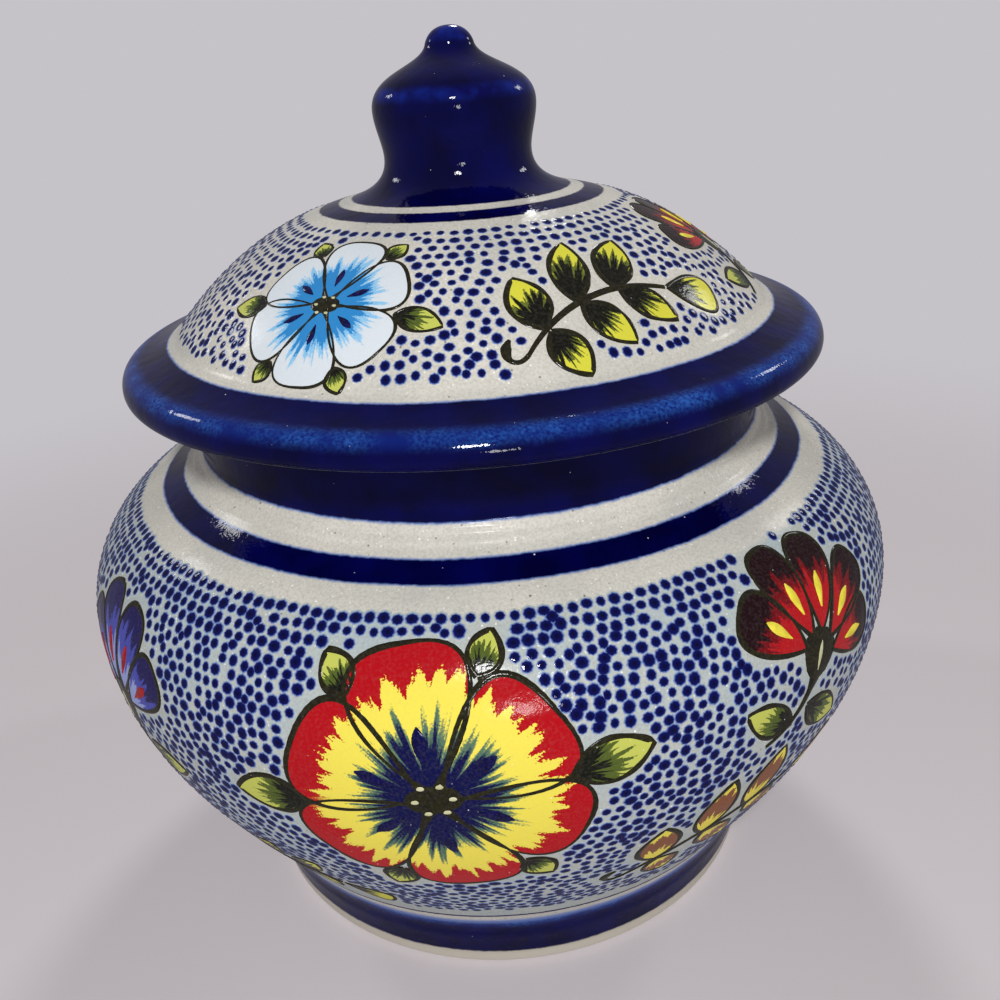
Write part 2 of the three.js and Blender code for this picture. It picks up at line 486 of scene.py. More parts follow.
BAND_HEIGHTS = {
    "foot_band": 2.3,
    "foot_break": 9.2,
    "foot_bleed": 10.2,
    "foot_cream": 12.2,
    "scored_line": 12.95,
    "dotted_ground": 13.6,
    "shoulder_cream": 64.9,
    "shoulder_band": 66.8,
    "neck_cream": 68.45,
    "collar": 71.5,
    "lip": 79.0,
}
body_run = {key: run_at(body_outline, outside, height) for key, height in BAND_HEIGHTS.items()}
lip_end = run_to(body_outline, (mouth_radius, MOUTH_HEIGHT - LIP_EDGE))
body_glaze = banded_glaze(
    "clear_glazed_stoneware_with_cobalt_bands",
    "clay",
    [
        (body_run["foot_band"], 0.5, "cobalt"),
        (body_run["foot_break"], 2.0, "break"),
        (body_run["foot_bleed"], 1.4, BLEED_BLUE),
        (body_run["foot_cream"] - 1.0, 1.6, "cream"),
        (body_run["scored_line"], 0.2, SCORED_LINE),
        (body_run["dotted_ground"], 0.2, "ground"),
        (body_run["shoulder_cream"], 1.2, "cream"),
        *bled_edge(body_run["shoulder_band"], "cobalt"),
        *bled_edge(body_run["neck_cream"], "cream"),
        *bled_edge(body_run["collar"], "cobalt"),
        (body_run["lip"], 0.5, "clay"),
        (lip_end, 0.5, "cream"),
    ],
)
clay = bare_clay()
bare_body = [(0, body_run["foot_band"] - 0.4), (body_run["lip"], lip_end)]
body = turned("stoneware_body", body_outline, [body_glaze, clay], bare_body)
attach(body, "jar")
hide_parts("jar_body")

# Lid
# A thrown stoneware lid: a hollow dome on a wide flange with a rounded bead, a locating ring
# below and a solid knob luted on top. Cobalt covers the flange, a narrow ring and the whole knob.
LID_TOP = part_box("lid")[1].z / MM
LID_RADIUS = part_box("lid")[1].x / MM
LOCATING_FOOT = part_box("lid")[0].z / MM
SEAT_HEIGHT = 80.7
LOCATING_RADIUS = 35.5
LOCATING_BORE = 31.9
LOCATING_EDGE = 0.8
BEAD_UNDERSIDE = 1.5
BEAD_SHOULDER = 2.8
BEAD_HEIGHT = 82.5
BEAD_END = math.radians(76)
DOME_FOOT = (41.6, 87.4)
SKIRT = (16.5, 102.7)
WAIST = (10.1, 108)
DRUM = (11.05, 114)
BUTTON = (3.3, 121.4)
LID_WALL = 4.5
ROOF_RISE = 0.4

dome_span = DOME_FOOT[0] - SKIRT[0]
dome_rise = SKIRT[1] - DOME_FOOT[1]
flare = SKIRT[0] - WAIST[0]
skirt_rise = WAIST[1] - SKIRT[1]
drum_rise = DRUM[1] - WAIST[1]
crown = DRUM[0] - BUTTON[0]
crown_rise = BUTTON[1] - DRUM[1]
button_rise = LID_TOP - BUTTON[1]


def bead_arc(radius, start, end, steps):
    """Points of a round stretch of the lid's edge, which is widest at angle 0."""
    centre = LID_RADIUS - radius
    angles = np.linspace(start, end, steps)
    return [(centre + radius * math.cos(a), BEAD_HEIGHT + radius * math.sin(a)) for a in angles]


bead = joined(
    bead_arc(BEAD_UNDERSIDE, -math.pi / 2, 0, 12), bead_arc(BEAD_SHOULDER, 0, BEAD_END, 18)
)
dome = smooth(
    DOME_FOOT,
    (DOME_FOOT[0] - 0.26 * dome_span, DOME_FOOT[1] + 0.47 * dome_rise),
    (SKIRT[0] + 0.44 * dome_span, SKIRT[1] - 0.15 * dome_rise),
    SKIRT,
    48,
)
knob = joined(
    smooth(
        SKIRT,
        (SKIRT[0] - 0.6 * flare, SKIRT[1] + 0.17 * skirt_rise),
        (WAIST[0], WAIST[1] - 0.57 * skirt_rise),
        WAIST,
        20,
    ),
    smooth(
        WAIST,
        (WAIST[0], WAIST[1] + 0.3 * drum_rise),
        (DRUM[0], DRUM[1] - 0.36 * drum_rise),
        DRUM,
        14,
    ),
    smooth(
        DRUM,
        (DRUM[0], DRUM[1] + 0.62 * crown_rise),
        (BUTTON[0] + 0.13 * crown, BUTTON[1] - 0.33 * crown_rise),
        BUTTON,
        24,
    ),
    smooth(
        BUTTON,
        (BUTTON[0] * 0.91, BUTTON[1] + 0.54 * button_rise),
        (BUTTON[0] * 0.6, LID_TOP),
        (0, LID_TOP),
        14,
    ),
)
lid_top = joined(
    bead,
    rounded(bead[-1], (DOME_FOOT[0] + 2.73, DOME_FOOT[1] - 1.56), DOME_FOOT, 16),
    dome,
    knob,
)
roof = [p for p in inset(dome, LID_WALL) if p[0] < LOCATING_BORE][::-1]
lid_outline = joined(
    [(0, roof[0][1] + ROOF_RISE)],
    roof,
    rounded(
        (LOCATING_BORE, roof[-1][1] - 1.6), (LOCATING_BORE, LOCATING_FOOT + 4), (LOCATING_BORE, 76)
    ),
    rounded(
        (LOCATING_BORE, LOCATING_FOOT + LOCATING_EDGE),
        (LOCATING_BORE, LOCATING_FOOT),
        (LOCATING_BORE + LOCATING_EDGE, LOCATING_FOOT),
    ),
    rounded(
        (LOCATING_RADIUS - LOCATING_EDGE, LOCATING_FOOT),
        (LOCATING_RADIUS, LOCATING_FOOT),
        (LOCATING_RADIUS, LOCATING_FOOT + LOCATING_EDGE),
    ),
    [(LOCATING_RADIUS, SEAT_HEIGHT), (COLLAR_RADIUS, SEAT_HEIGHT)],
    lid_top,
)
LID_HEIGHTS = {
    "bead_break_and_sheen": 84.15,
    "flange": 85.27,
    "dome_cream": 86.8,
    "ring": 101.9,
    "ring_end": 102.6,
    "skirt": 103.05,
    "knob_thin_and_sheen": 115.3,
    "knob_crown": 116.7,
    "button_thin": 121.9,
}
lid_rise = [p for p in lid_top if p[1] >= BEAD_HEIGHT]
lid_run = {key: run_at(lid_outline, lid_rise, height) for key, height in LID_HEIGHTS.items()}
under_flange = run_to(lid_outline, (COLLAR_RADIUS, SEAT_HEIGHT))
lid_glaze = banded_glaze(
    "clear_glazed_stoneware_with_cobalt_knob",
    "clay",
    [
        (under_flange + 0.6, 0.4, "cobalt"),
        # The flecked brighter blue on the bead's upper face is partly cobalt broken over the edge and
        # partly a painted sheen.
        (lid_run["bead_break_and_sheen"], 1.9, "break"),
        (lid_run["flange"], 1.9, "cobalt"),
        *bled_edge(lid_run["dome_cream"], "cream"),
        (lid_run["ring"], 0.35, "cobalt"),
        (lid_run["ring_end"], 0.35, "cream"),
        (lid_run["skirt"], 0.35, "cobalt"),
        # The lighter blue at the top of the knob's drum is partly thin cobalt and partly a painted
        # sheen.
        (lid_run["knob_thin_and_sheen"], 1.4, "thin"),
        (lid_run["knob_crown"], 1.2, "cobalt"),
        (lid_run["button_thin"], 0.8, "thin"),
    ],
)
lid = turned("stoneware_lid", lid_outline, [lid_glaze, clay], [(0, under_flange)])
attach(lid, "lid")
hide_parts("lid")

# Painted flowers
# Each is brushed on freehand in thick coloured slip: feathered petals and leaves in two or three
# colours, drops laid on them, and a dark line round it all that also makes stems and tendrils.
FILL_LIFT = 0.05
LINE_LIFT = 0.12
LINE_WIDTH = 0.76
PETAL_STEP = 0.0025
PETAL_GRID = (40, 12)
STROKE_SINK = 0.02
STROKE_STEEPNESS = 2.5
BRISTLE_FRAY = 0.25
LINE_GRID = (40, 4)
DARK_LINE = "#1b1a12"
PALE_DROP = "#c9c7a4"


def surface_of(points):
    """A glazed surface to paint on: its outline by distance from its start, with the normals."""
    outline = np.array(points)
    along = np.gradient(outline, axis=0)
    along /= np.linalg.norm(along, axis=1)[:, None]
    return {
        "run": run_of(points),
        "radius": outline[:, 0],
        "height": outline[:, 1],
        "out": along[:, 1],
        "up": -along[:, 0],
    }


def on_surface(surface, run, turn, lift):
    """Places in metres, for distances up a surface and angles round it, lifted off it in mm."""
    radius, height, out, up = (
        np.interp(run, surface["run"], surface[key]) for key in ("radius", "height", "out", "up")
    )
    reach = radius + lift * out
    return np.stack([reach * np.cos(turn), reach * np.sin(turn), height + lift * up], axis=-1) * MM


def wrapped(piece, surface, centre_run, centre_turn, tilt, scale):
    """Lays a flat painting, drawn in mm as x to the right and y up, on a turned surface, as a
    cone's sheet is rolled up: lengths up the surface and round the painting's middle stay true."""
    mesh = piece.data
    flat = np.zeros(len(mesh.vertices) * 3)
    mesh.vertices.foreach_get("co", flat)
    flat = flat.reshape(-1, 3)
    x = scale * (flat[:, 0] * math.cos(tilt) - flat[:, 1] * math.sin(tilt))
    y = scale * (flat[:, 0] * math.sin(tilt) + flat[:, 1] * math.cos(tilt))
    radius = np.interp(centre_run, surface["run"], surface["radius"])
    slope = -np.interp(centre_run, surface["run"], surface["up"])
    reach = radius / max(abs(slope), 0.02) * (1 if slope >= 0 else -1)
    distance = np.hypot(x, reach + y)
    angle = np.arctan2(x, np.abs(reach + y))
    run = centre_run + np.sign(reach) * (distance - abs(reach))
    turn = centre_turn + angle * abs(reach) / radius
    placed = on_surface(surface, run, turn, flat[:, 2])
    mesh.vertices.foreach_set("co", placed.ravel())
    mesh.update()


def laid(bm, columns, rows, place, material):
    """Adds a grid whose points place() puts in the painting, from shares 0 to 1 each way."""
    made = bmesh.ops.create_grid(bm, x_segments=columns, y_segments=rows, size=0.5)["verts"]
    brush_layer = bm.verts.layers.float_vector["brush"]
    for vert in made:
        vert.co, vert[brush_layer] = place(vert.co.x + 0.5, vert.co.y + 0.5)
    for face in {f for v in made for f in v.link_faces}:
        face.material_index = material
        if face.normal.z < 0:
            face.normal_flip()


def along(points, share):
    """The point at a share of the way along a list of points, and the direction there."""
    place = min(share, 0.9999) * (len(points) - 1)
    start, end = Vector(points[int(place)]), Vector(points[int(place) + 1])
    return start.lerp(end, place - int(place)), (end - start).normalized()


def stroke(bm, points, widths, lift, material, columns=24):
    """A brush stroke along points, with a width at each of some even steps. It has steep sides
    and a flat top."""
    steps = np.linspace(0, 1, len(widths))

    def place(share, across):
        middle, forward = along(points, share)
        side = 2 * across - 1
        half = 0.5 * np.interp(share, steps, widths) * side
        raised = lift * min(1, STROKE_STEEPNESS * (1 - side * side)) - STROKE_SINK
        return (middle.x - forward.y * half, middle.y + forward.x * half, raised), (share, side, 0)

    laid(bm, columns, LINE_GRID[1], place, material)


def polar(radius, angle):
    """A point of a painting, by its distance from the middle and its angle in degrees."""
    return Vector((radius * math.cos(math.radians(angle)), radius * math.sin(math.radians(angle))))


def petal(bm, hand, root, angle, length, width, shape, material):
    """A petal or leaf from its root outwards, with the dark line round it. The painter's hand
    makes each a little different and lays it over the ones before. Its brush attribute holds
    the share of the way out, the angle and the share of the way to the rim."""
    length *= hand.uniform(0.94, 1.05)
    left, right = (
        smooth((0, 0), *[(x * length, y * width * half) for x, y in shape], (length, 0), 20)
        for half in (hand.uniform(0.9, 1.08), -hand.uniform(0.9, 1.08))
    )
    turn = Matrix.Rotation(math.radians(angle + hand.uniform(-3, 3)), 2)
    outline = [turn @ Vector(p) + root for p in left + right[-2::-1]]
    petals_below = len(bm.faces) // (PETAL_GRID[0] * PETAL_GRID[1])
    lift = FILL_LIFT + PETAL_STEP * petals_below

    def place(share, outward):
        rim, _ = along(outline, share)
        point = root.lerp(rim, outward)
        arm = point - root
        brush = (arm.length / length, math.atan2(arm.y, arm.x), outward)
        return (point.x, point.y, lift), brush

    laid(bm, *PETAL_GRID, place, material)
    waver = [LINE_WIDTH * hand.uniform(0.7, 1.35) for _ in range(12)]
    stroke(bm, outline, waver, LINE_LIFT, LINE_SLOT, LINE_GRID[0])


def drop(bm, start, end, width, material):
    """A drop of thick slip, laid with the tip of a full brush."""
    widths = [0.1 * width, 0.5 * width, 0.85 * width, width, 0.8 * width, 0.1 * width]
    stroke(bm, [start, end], widths, LINE_LIFT + 0.06, material, 12)


def disc(bm, middle, radius, lift, material):
    """A round spot of thick slip."""
    ends = [middle - Vector((radius, 0)), middle + Vector((radius, 0))]
    widths = [2 * radius * math.sqrt(1 - share * share) for share in np.linspace(-1, 1, 13)]
    stroke(bm, ends, widths, lift, material, 12)


def tendril(bm, *knots):
    """A thin dark line that ends in a drop."""
    stroke(bm, smooth(*knots), [0.7, 0.7, 0.7, 0.8, 1.3, 1.5, 0.5], LINE_LIFT + 0.03, LINE_SLOT)


def pigment_grain(tree, place, colour):
    """Mottles a slip colour where pigment grains let the clay through, with a few pinholes."""
    noise = add(tree, "ShaderNodeTexNoise", {"Vector": place, "Scale": 1 / 0.35, "Detail": 3})
    share = add(
        tree, "ShaderNodeMapRange", {"Value": noise, "From Min": 0.45, "From Max": 0.75, "To Max": 0.07}
    )
    colour = add(
        tree, "ShaderNodeMix", {"Factor": share, "A": colour, "B": CLAY_GRAIN}, data_type="RGBA"
    )
    return speckled(tree, place, colour, spacing=1.3, size=0.24, speck=WHITE_SPECK_AND_GLINT, seed=41)


def brushed_slip(name, first, bands, stroke_count=11):
    """Coloured slip brushed outwards from a petal's root under the clear glaze. Each band has a
    start and a soft edge, how far its brush tips reach to and fro, and a colour."""
    material, tree = fresh_material(name)
    brush = add(tree, "ShaderNodeAttribute", attribute_name="brush").outputs["Vector"]
    parts = add(tree, "ShaderNodeSeparateXYZ", {"Vector": brush})
    across = add(
        tree,
        "ShaderNodeMath",
        {"Value": parts.outputs["Y"], "Value_001": stroke_count},
        operation="MULTIPLY",
    )
    bristles = add(
        tree, "ShaderNodeCombineXYZ", {"X": across, "Y": parts.outputs["X"], "Z": parts.outputs["Z"]}
    )
    tips = add(tree, "ShaderNodeTexNoise", {"Vector": bristles, "Scale": 1, "Detail": 2})
    place = place_in_mm(tree)
    grain = add(
        tree, "ShaderNodeTexNoise", {"Vector": place, "Scale": 1 / BRISTLE_FRAY, "Detail": 1}
    )
    fray = add(
        tree,
        "ShaderNodeMapRange",
        {"Value": grain, "From Min": 0.3, "From Max": 0.7, "To Min": -0.03, "To Max": 0.03},
    )
    outward = add(
        tree, "ShaderNodeMath", {"Value": parts.outputs["X"], "Value_001": fray}, operation="ADD"
    )
    colour = first
    for start, edge, feather, following in bands:
        level = add(
            tree,
            "ShaderNodeMapRange",
            {"Value": tips, "From Min": 0.3, "From Max": 0.7, "To Min": -feather, "To Max": feather},
        )
        run = add(tree, "ShaderNodeMath", {"Value": outward, "Value_001": level}, operation="ADD")
        colour = banded(tree, run, colour, [(start, edge, following)])
    glazed(tree, pigment_grain(tree, place, colour), place, 0.1)
    return material


def plain_slip(name, pale, dark):
    """One colour of thick slip under the clear glaze, a little uneven where the brush was full."""
    material, tree = fresh_material(name)
    place = place_in_mm(tree)
    glazed(tree, pigment_grain(tree, place, clouded(tree, place, 1.2, pale, dark)), place, 0.1)
    return material


ROUND_PETAL = ((0.42, 0.5), (1.02, 0.86))
POINTED_LEAF = ((0.25, 0.68), (0.68, 0.62))
LINE_SLOT, PETAL_SLOT, DROP_SLOT, LEAF_SLOT, SEED_SLOT = range(5)
line_slip = plain_slip("brown_black_slip_line", DARK_LINE, "#23210f")
pale_drop = plain_slip("pale_slip_drop", PALE_DROP, "#b5b48c")
yellow_drop = plain_slip("yellow_slip_drop", "#e8da4a", "#d3c23a")
navy_drop = plain_slip("navy_slip_drop", "#0c0c48", "#080832")
red_drop = plain_slip("red_slip_drop", "#a51a1d", "#7c1218")
leaf_slip = brushed_slip("black_and_yellow_green_slip", "#12140e", [
    (0.4, 0.06, 0.2, "#4c5a22"), (0.62, 0.05, 0.16, "#b8bd57"),
])

PETAL_COLOURS = {
    "sunset": (brushed_slip("navy_yellow_and_red_slip", "#0a0e40", [
        (0.36, 0.1, 0.16, "#53705a"), (0.46, 0.08, 0.16, "#e3d452"), (0.76, 0.02, 0.12, "#a60c17"),
    ]), navy_drop),
    "ember": (brushed_slip("red_and_black_slip", "#a8141b", [
        (0.5, 0.05, 0.16, "#6b0d14"), (0.66, 0.05, 0.14, "#1d080e"),
    ]), yellow_drop),
    "dusk": (brushed_slip("violet_blue_slip", "#8f9bd0", [
        (0.42, 0.06, 0.15, "#3f45a0"), (0.68, 0.06, 0.15, "#150f4c"),
    ]), red_drop),
    "sky": (brushed_slip("blue_and_white_slip", "#2a80c0", [
        (0.5, 0.04, 0.14, "#86bbdf"), (0.62, 0.1, 0.16, "#ced5db"),
    ]), navy_drop),
    "amber": (brushed_slip("yellow_and_brown_slip", "#e0d048", [
        (0.36, 0.03, 0.12, "#7d4a2b"), (0.78, 0.03, 0.12, "#decf4c"),
    ]), pale_drop),
    "moss": (brushed_slip("black_and_yellow_slip", "#12120d", [
        (0.52, 0.04, 0.2, "#5c6424"), (0.62, 0.03, 0.18, "#ccc83e"),
    ]), red_drop),
    "lagoon": (brushed_slip("teal_and_white_slip", "#0a3c4c", [
        (0.42, 0.06, 0.15, "#16707e"), (0.7, 0.06, 0.14, "#d5dfdc"),
    ]), yellow_drop),
}


def open_blossom(bm, hand):
    """A flower seen from the front: six round petals, leaves between them and a dark middle."""
    for angle in range(0, 360, 60):
        length, width = (9, 5.4) if angle % 180 == 0 else (5, 4)
        petal(bm, hand, polar(14.3, angle), angle, length, width, POINTED_LEAF, LEAF_SLOT)
    for angle in range(30, 390, 60):
        petal(bm, hand, polar(1.2, angle), angle, 15.6, 12.6, ROUND_PETAL, PETAL_SLOT)
        drop(bm, polar(4.4, angle), polar(8.6, angle), 2, DROP_SLOT)
    disc(bm, polar(0, 0), 3.2, LINE_LIFT, LINE_SLOT)
    for angle in range(0, 360, 60):
        disc(bm, polar(2, angle), 0.42, LINE_LIFT + 0.05, SEED_SLOT)


def side_blossom(bm, hand):
    """A flower seen from the side: a fan of five petals on a bent stem with two leaves."""
    for angle, length in ((22, 11), (56, 12.5), (90, 13), (124, 12.5), (158, 11)):
        petal(bm, hand, polar(3, angle), angle, length, 6.6, ROUND_PETAL, PETAL_SLOT)
        drop(bm, polar(6.2, angle), polar(10.6, angle), 1.7, DROP_SLOT)
    stem = smooth((0, -1), (0, -5), (-1.5, -9), (-5, -11.5))
    stroke(bm, stem, [3.4, 1.4, 1, 0.9, 0.7], LINE_LIFT + 0.03, LINE_SLOT)
    stroke(bm, [(0, -3), (0, 3.8)], [0.8, 4.6, 6.2, 7.2, 6.6, 2.6], LINE_LIFT + 0.03, LINE_SLOT, 14)
    drop(bm, Vector((0, -1.4)), Vector((0, 2.2)), 1.2, SEED_SLOT)
    petal(bm, hand, Vector((0.4, -6)), -12, 10.5, 4.6, POINTED_LEAF, LEAF_SLOT)
    petal(bm, hand, Vector((-1.6, -8.4)), 172, 9.5, 4.4, POINTED_LEAF, LEAF_SLOT)


def leaf_spray(bm, hand):
    """A curved twig with pointed leaves on both sides, a bud at its end and a tendril."""
    twig = smooth((-13, -4), (-6, 1), (2, 2), (10, -0.5))
    stroke(bm, twig, [0.6, 0.9, 1.1, 1, 0.8], LINE_LIFT + 0.03, LINE_SLOT)
    for share, angle, length in ((0.16, 86, 8.5), (0.42, 70, 10), (0.68, 56, 9.5)):
        root, _ = along(twig, share)
        above, below = root + Vector((0, 0.4)), root + Vector((0.6, -0.4))
        petal(bm, hand, above, angle, length, 5.2, POINTED_LEAF, PETAL_SLOT)
        petal(bm, hand, below, 10 - angle, length - 1.5, 4.8, POINTED_LEAF, PETAL_SLOT)
    petal(bm, hand, Vector((10.4, -0.6)), -12, 8.5, 6, ROUND_PETAL, PETAL_SLOT)
    tendril(bm, (-13, -4), (-15.4, -5.4), (-16.6, -2.8), (-14.2, -1.2))


def flower(name, drawing, colours, surface, height, turn, tilt, scale):
    """Draws a flower flat, lays it on the glaze and gives it its slips."""
    bm = bmesh.new()
    bm.verts.layers.float_vector.new("brush")
    drawing(bm, random.Random(name))
    petal_slip, drop_slip = PETAL_COLOURS[colours]
    piece = finished(name, bm, [line_slip, petal_slip, drop_slip, leaf_slip, pale_drop])
    centre_run = np.interp(height, surface["height"], surface["run"])
    wrapped(piece, surface, centre_run, math.radians(turn), math.radians(tilt), scale)
    return piece


body_surface = surface_of(outside)
BODY_FLOWERS = [
    (open_blossom, "sunset", 47, -98, 8, 1.08),
    (side_blossom, "ember", 52, -50, -24, 1.0),
    (leaf_spray, "amber", 30, -60, 14, 1.1),
    (side_blossom, "dusk", 45, -146, 16, 1.05),
    (leaf_spray, "moss", 23, -127, -16, 0.8),
    (open_blossom, "lagoon", 38, -14, -8, 0.72),
    (open_blossom, "sky", 43, 30, 6, 0.9),
    (side_blossom, "amber", 42, 68, -14, 1.05),
    (open_blossom, "sunset", 42, 112, -6, 0.98),
    (leaf_spray, "dusk", 28, 148, 10, 1.0),
    (side_blossom, "ember", 49, 160, 18, 0.95),
]
body_flowers = []
for number, (drawing, colours, height, turn, tilt, scale) in enumerate(BODY_FLOWERS, 1):
    piece = flower(f"body_flower_{number}", drawing, colours, body_surface, height, turn, tilt, scale)
    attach(piece, "jar")
    body_flowers.append(piece)

lid_surface = surface_of(lid_rise)
LID_FLOWERS = [
    (open_blossom, "sky", 95.0, -120, 0, 0.64),
    (leaf_spray, "moss", 94.0, -64, 4, 0.92),
    (side_blossom, "ember", 94.4, -12, -14, 0.8),
    (open_blossom, "amber", 95.0, 42, 0, 0.64),
    (side_blossom, "dusk", 94.4, 98, 14, 0.8),
    (leaf_spray, "amber", 94.0, 152, -4, 0.92),
]
lid_flowers = []
for number, (drawing, colours, height, turn, tilt, scale) in enumerate(LID_FLOWERS, 1):
    piece = flower(f"lid_flower_{number}", drawing, colours, lid_surface, height, turn, tilt, scale)
    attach(piece, "lid")
    lid_flowers.append(piece)

# Dotted ground
# Small drops of cobalt slip fill the ground between the flowers. They were set by hand in
# loose rows that follow the edges, they stand a little proud, and the glaze drew a blue halo out.
BODY_DOT = {"width": 1.42, "pitch": 1.55, "low": 16.8, "high": 64.8}
LID_DOT = {"width": 1.22, "pitch": 1.62, "low": 88.4, "high": 101.0}
FIRST_ROWS = 3
DOT_SIDES = 8
DOT_LIFT = 0.19
DOT_TOP = 0.34
DOT_RIM = 0.5
DOT_HALO = 0.72
DOT_CLEARANCE = 0.82
CROWDING = 0.93
MERGING = 0.72
MERGE_CHANCE = 0.045
TRIES = 16
DOT_CORE = "#04052e"
DOT_EDGE = "#090c4c"


def cobalt_dots(name, cloud_width, pale, dark):
    """Cobalt slip dots under clear glaze: near black in the middle, with a soft blue halo that
    runs out into the clouded ground round them."""
    material, tree = fresh_material(name)
    place = place_in_mm(tree)
    spread = add(tree, "ShaderNodeAttribute", attribute_name="spread").outputs["Fac"]
    ragged = add(tree, "ShaderNodeTexNoise", {"Vector": place, "Scale": 1 / 0.3, "Detail": 1})
    level = add(
        tree,
        "ShaderNodeMapRange",
        {"Value": ragged, "From Min": 0.3, "From Max": 0.7, "To Min": -0.035, "To Max": 0.035},
    )
    run = add(tree, "ShaderNodeMath", {"Value": spread, "Value_001": level}, operation="ADD")
    ground = stoneware_specks(tree, place, clouded(tree, place, cloud_width, pale, dark))
    colour = banded(
        tree, run, ground, [(0.28, 0.22, BLEED_BLUE), (0.42, 0.18, DOT_EDGE), (0.8, 0.4, DOT_CORE)]
    )
    glazed(tree, colour, place)
    return material


def paint_tree(pieces):
    """A search tree of every point that is painted already."""
    points = [v.co for piece in pieces for v in piece.data.vertices]
    tree = KDTree(len(points))
    for i, point in enumerate(points):
        tree.insert(point, i)
    tree.balance()
    return tree


def scattered(surface, dot, painted, seed):
    """Places of the dots, as distance up the surface and angle round it. They start as rows below
    the upper edge and spread from each dot to its free neighbours, clear of the flowers."""
    rng = random.Random(seed)
    low, high = np.interp([dot["low"], dot["high"]], surface["height"], surface["run"])
    pitch = dot["pitch"]
    cells, placed = {}, []

    def radius_at(run):
        return float(np.interp(run, surface["run"], surface["radius"]))

    def taken(run, turn, spacing):
        point = Vector(on_surface(surface, run, turn, 0))
        if painted.find(point)[2] < DOT_CLEARANCE * MM:
            return True
        cell = tuple(int(c // (pitch * MM)) for c in point)
        near = (
            other
            for x in (-1, 0, 1)
            for y in (-1, 0, 1)
            for z in (-1, 0, 1)
            for other in cells.get((cell[0] + x, cell[1] + y, cell[2] + z), ())
        )
        if any((other - point).length < spacing * MM for other in near):
            return True
        cells.setdefault(cell, []).append(point)
        placed.append((run, turn))
        return False

    for row in range(FIRST_ROWS):
        row_run = high - row * pitch
        step = pitch * rng.uniform(1, 1.06) / radius_at(row_run)
        for i in range(int(math.tau / step)):
            taken(row_run + rng.uniform(-0.15, 0.15), (i + row / 2) * step, CROWDING * pitch)
    done = 0
    while done < len(placed):
        run, turn = placed[done]
        done += 1
        first = rng.uniform(0, math.tau)
        for i in range(TRIES):
            angle = first + i * math.tau / TRIES
            reach = pitch * rng.uniform(1, 1.06)
            merging = rng.random() < MERGE_CHANCE
            if merging:
                reach *= MERGING
            new_run = run + reach * math.sin(angle)
            if low < new_run < high + 0.1:
                spacing = pitch * (MERGING * 0.98 if merging else CROWDING)
                taken(new_run, turn + reach * math.cos(angle) / radius_at(new_run), spacing)
    return placed


def dot_drop(width):
    """One drop, flat in x and y: a rounded top of two rings and a halo round it."""
    bm = bmesh.new()
    spread_layer = bm.verts.layers.float.new("spread")
    reach = DOT_HALO * width
    bmesh.ops.create_circle(bm, cap_ends=True, radius=reach, segments=DOT_SIDES)
    middle = bm.faces[:]
    for ring in (DOT_RIM, DOT_TOP):
        bmesh.ops.inset_region(bm, faces=middle, thickness=reach - ring * width)
        reach = ring * width
    bmesh.ops.poke(bm, faces=middle)
    rings = [0, DOT_TOP, DOT_RIM, DOT_HALO]
    for vert in bm.verts:
        share = vert.co.length / width
        vert.co.z = np.interp(share, rings, [DOT_LIFT, 0.75 * DOT_LIFT, 0.03, -0.006])
        vert[spread_layer] = np.interp(share, rings, [1.1, 1.0, 0.75, 0])
    return bm


def dotted(name, surface, dot, places, slip, seed):
    """A piece that holds one drop at each place, each of its own size and a little out of round."""
    bm = dot_drop(dot["width"])
    corner_count = len(bm.verts)
    while len(bm.verts) < corner_count * len(places):
        copied = bm.verts[:] + bm.edges[:] + bm.faces[:]
        bmesh.ops.duplicate(bm, geom=copied)
    bm.verts.ensure_lookup_table()
    bmesh.ops.delete(bm, geom=bm.verts[corner_count * len(places) :], context="VERTS")
    piece = finished(name, bm, [slip])
    rng = np.random.default_rng(seed)
    flat = np.zeros(len(piece.data.vertices) * 3)
    piece.data.vertices.foreach_get("co", flat)
    flat = flat.reshape(len(places), corner_count, 3)
    size = rng.uniform(0.8, 1.2, (len(places), 1))
    stretch = rng.uniform(0.92, 1.08, (len(places), 1))
    run, turn = (np.array(column)[:, None] for column in zip(*places))
    radius = np.interp(run, surface["run"], surface["radius"])
    placed = on_surface(
        surface,
        run + flat[:, :, 1] * size / stretch,
        turn + flat[:, :, 0] * size * stretch / radius,
        flat[:, :, 2],
    )
    piece.data.vertices.foreach_set("co", placed.ravel())
    piece.data.update()
    return piece


body_dot_slip = cobalt_dots(
    "cobalt_slip_dots_on_bluish_ground", BLUISH_CLOUD, BLUISH_CREAM, BLUISH_SHADE
)
BODY_QUARTERS = 4
body_places = scattered(body_surface, BODY_DOT, paint_tree(body_flowers), 5)
for quarter in range(BODY_QUARTERS):
    places = [p for p in body_places if int(p[1] % math.tau / math.tau * BODY_QUARTERS) == quarter]
    piece = dotted(f"body_dots_{quarter + 1}", body_surface, BODY_DOT, places, body_dot_slip, quarter)
    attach(piece, "jar")

lid_places = scattered(lid_surface, LID_DOT, paint_tree(lid_flowers), 11)
lid_dot_slip = cobalt_dots("cobalt_slip_dots_on_cream", CREAM_CLOUD, CREAM, CREAM_SHADE)
lid_dots = dotted("lid_dots", lid_surface, LID_DOT, lid_places, lid_dot_slip, 21)
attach(lid_dots, "lid")

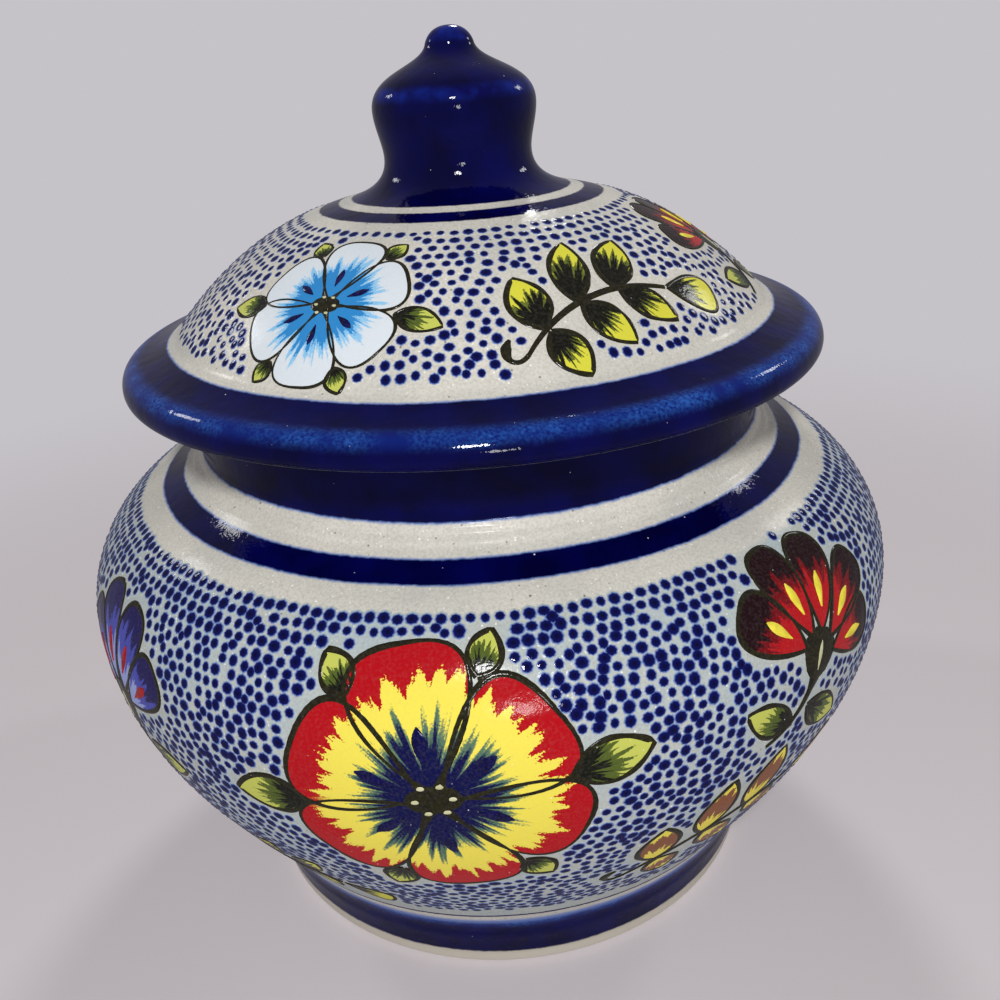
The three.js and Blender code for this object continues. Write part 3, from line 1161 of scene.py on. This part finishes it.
# Table, lights and camera
# A plain pale table that fades into a pale room, a lamp high behind the camera, a weak one low
# behind it, and more at the left, right and back. The camera is close, looks down and is tipped.
TABLE_COLOUR = "#cfc8cb"
TABLE_REACH = 3.0
TABLE_FADE = (0.10, 0.30)
ROOM_COLOUR = "#c6c3c8"
ROOM_LIGHT = 0.15
LAMPS = [
    ("key", (-0.02, -0.42, 0.42), 0.07, 2.15),
    ("front", (0.04, -0.46, 0.17), 0.07, 0.6),
    ("left", (-0.38, 0.2, 0.34), 0.07, 0.3),
    ("right", (0.40, 0.2, 0.34), 0.07, 0.3),
    ("back", (0.06, 0.42, 0.44), 0.10, 0.9),
]
AIM = (0, 0, 0.06)
CAMERA_PLACE = (0, -0.1442, 0.1214)
CAMERA_DOWN = 24.65
CAMERA_TURN = 0.88
CAMERA_ROLL = -4.25
CAMERA_LENS = 35.93


def seen_directly(tree):
    """1 for what the camera sees, straight, mirrored or through a clear piece, and 0 for what
    gives light."""
    ray = add(tree, "ShaderNodeLightPath").outputs
    seen = ray["Is Camera Ray"]
    for kind in ("Is Glossy Ray", "Is Transmission Ray"):
        seen = add(
            tree, "ShaderNodeMath", {"Value": seen, "Value_001": ray[kind]}, operation="MAXIMUM"
        )
    return seen


def pale_table():
    """Matt pale paper. Away from the jar it fades into the colour of the room."""
    material, tree = fresh_material("matt_pale_paper")
    place = add(tree, "ShaderNodeTexCoord").outputs["Object"]
    distance = add(tree, "ShaderNodeVectorMath", {"Vector": place}, operation="LENGTH")
    fade = add(
        tree,
        "ShaderNodeMapRange",
        {"Value": distance.outputs["Value"], "From Min": TABLE_FADE[0], "From Max": TABLE_FADE[1]},
        interpolation_type="SMOOTHSTEP",
    )
    share = add(
        tree, "ShaderNodeMath", {"Value": fade, "Value_001": seen_directly(tree)}, operation="MULTIPLY"
    )
    paper = add(tree, "ShaderNodeBsdfDiffuse", {"Color": TABLE_COLOUR})
    room = add(tree, "ShaderNodeEmission", {"Color": ROOM_COLOUR, "Strength": 1.0})
    mixed = add(tree, "ShaderNodeMixShader", {"Fac": share, "Shader": paper, "Shader_001": room})
    add(tree, "ShaderNodeOutputMaterial", {"Surface": mixed})
    return material


table_bm = bmesh.new()
bmesh.ops.create_circle(table_bm, cap_ends=True, radius=TABLE_REACH, segments=96)
table = finished("table", table_bm, [pale_table()])

world = bpy.data.worlds.new("pale_room")
world.use_nodes = True
world.node_tree.nodes.clear()
strength = add(
    world.node_tree,
    "ShaderNodeMapRange",
    {"Value": seen_directly(world.node_tree), "To Min": ROOM_LIGHT, "To Max": 1.0},
)
room = add(world.node_tree, "ShaderNodeBackground", {"Color": ROOM_COLOUR, "Strength": strength})
add(world.node_tree, "ShaderNodeOutputWorld", {"Surface": room})
bpy.context.scene.world = world

for name, place, size, power in LAMPS:
    lamp = bpy.data.objects.new(name, bpy.data.lights.new(name, "AREA"))
    lamp.data.shape = "DISK"
    lamp.data.size = size
    lamp.data.energy = power
    lamp.location = place
    lamp.rotation_euler = (Vector(AIM) - Vector(place)).to_track_quat("-Z", "Y").to_euler()
    bpy.context.scene.collection.objects.link(lamp)

camera = bpy.data.objects.new("camera", bpy.data.cameras.new("camera"))
camera.data.lens = CAMERA_LENS
camera.data.clip_start = 0.01
camera.matrix_world = (
    Matrix.Translation(CAMERA_PLACE)
    @ Matrix.Rotation(math.radians(-CAMERA_TURN), 4, "Z")
    @ Matrix.Rotation(math.radians(90 - CAMERA_DOWN), 4, "X")
    @ Matrix.Rotation(math.radians(CAMERA_ROLL), 4, "Z")
)
bpy.context.scene.collection.objects.link(camera)
bpy.context.scene.camera = camera
bpy.context.scene.view_settings.view_transform = "Standard"
